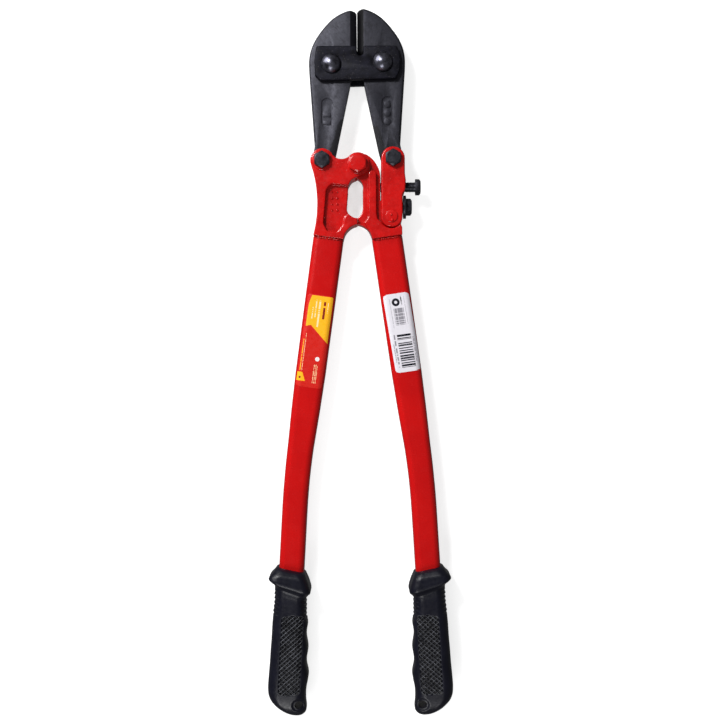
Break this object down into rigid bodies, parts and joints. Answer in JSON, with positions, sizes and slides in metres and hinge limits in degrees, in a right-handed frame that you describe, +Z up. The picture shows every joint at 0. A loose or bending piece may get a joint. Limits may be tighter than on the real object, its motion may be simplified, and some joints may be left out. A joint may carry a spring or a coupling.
{
  "type": "bolt cutters",
  "caption": "Long-handled bolt cutters: two pivoting blades under straps, compound arms, an adjusting link with screws, tubular handles and moulded grips.",
  "frame": {"origin": "on the centre pivot's axis, in the plane the tool rests on when it lies on its back", "axes": "+Y towards the jaws, +X towards the side of the adjusting screws, +Z up through the tool's thickness"},
  "size_m": [0.1602, 0.6115, 0.036],
  "materials": {
    "forged_red": "gloss",
    "tube_red": "gloss",
    "blade_steel": "satin",
    "strap_steel": "satin",
    "black_bolt": "gloss",
    "grip_rubber": "satin",
    "label_film": "gloss"
  },
  "bodies": {
    "left_handle": {"left_arm": "forged_red", "left_tube": "tube_red", "left_grip": "grip_rubber", "centre_pivot_bolt": "forged_red", "centre_pivot_nut": "forged_red", "left_tail_bolt": "black_bolt", "left_tail_nut": "black_bolt", "left_label": "label_film"},
    "right_handle": {"right_arm": "forged_red", "right_tube": "tube_red", "right_grip": "grip_rubber", "right_label": "label_film"},
    "left_blade": {"left_blade": "blade_steel"},
    "head": {"front_strap": "strap_steel", "rear_strap": "strap_steel", "left_blade_bolt": "black_bolt", "right_blade_bolt": "black_bolt", "left_blade_nut": "black_bolt", "right_blade_nut": "black_bolt"},
    "right_blade": {"right_blade": "blade_steel"},
    "link": {"front_link_plate": "forged_red", "rear_link_plate": "forged_red", "link_block": "forged_red", "link_rivet": "forged_red", "link_bolt": "black_bolt", "link_nut": "black_bolt"},
    "adjusting_screw": {"adjusting_screw": "black_bolt"},
    "lock_screw": {"lock_screw": "black_bolt", "lock_washer": "black_bolt"}
  },
  "joints": [
    {"name": "handle_open", "type": "hinge", "parent": "left_handle", "child": "right_handle", "pos_m": [0, 0, 0.018], "axis": [0, 0, 1], "range_deg": [0, 80]},
    {"name": "left_blade_turn", "type": "hinge", "parent": "left_handle", "child": "left_blade", "pos_m": [-0.0306, 0.0034, 0.018], "axis": [0, 0, 1], "range_deg": [0, 46]},
    {"name": "strap_turn", "type": "hinge", "parent": "left_blade", "child": "head", "pos_m": [-0.0222, 0.08595, 0.018], "axis": [0, 0, 1], "range_deg": [-6.5, 0]},
    {"name": "right_blade_turn", "type": "hinge", "parent": "head", "child": "right_blade", "pos_m": [0.022, 0.08725, 0.018], "axis": [0, 0, 1], "range_deg": [-6.5, 0]},
    {"name": "link_tilt", "type": "hinge", "parent": "right_handle", "child": "link", "pos_m": [0.0287, -0.0449, 0.018], "axis": [0, 0, 1], "range_deg": [-0.8, 0]},
    {"name": "adjusting_screw_feed", "type": "slide", "parent": "link", "child": "adjusting_screw", "axis": [1, 0, 0], "range_m": [-0.0004, 0]},
    {"name": "lock_screw_turn", "type": "hinge", "parent": "right_handle", "child": "lock_screw", "pos_m": [0.0391, -0.036, 0.018], "axis": [1, 0, 0], "continuous": true}
  ],
  "couplings": [
    {"joint": "left_blade_turn", "follows": "handle_open", "ratio": 0.56835},
    {"joint": "strap_turn", "follows": "handle_open", "ratio": -0.07581},
    {"joint": "right_blade_turn", "follows": "handle_open", "ratio": -0.07581},
    {"joint": "adjusting_screw_feed", "follows": "link_tilt", "m_per_rad": 0.0261}
  ]
}
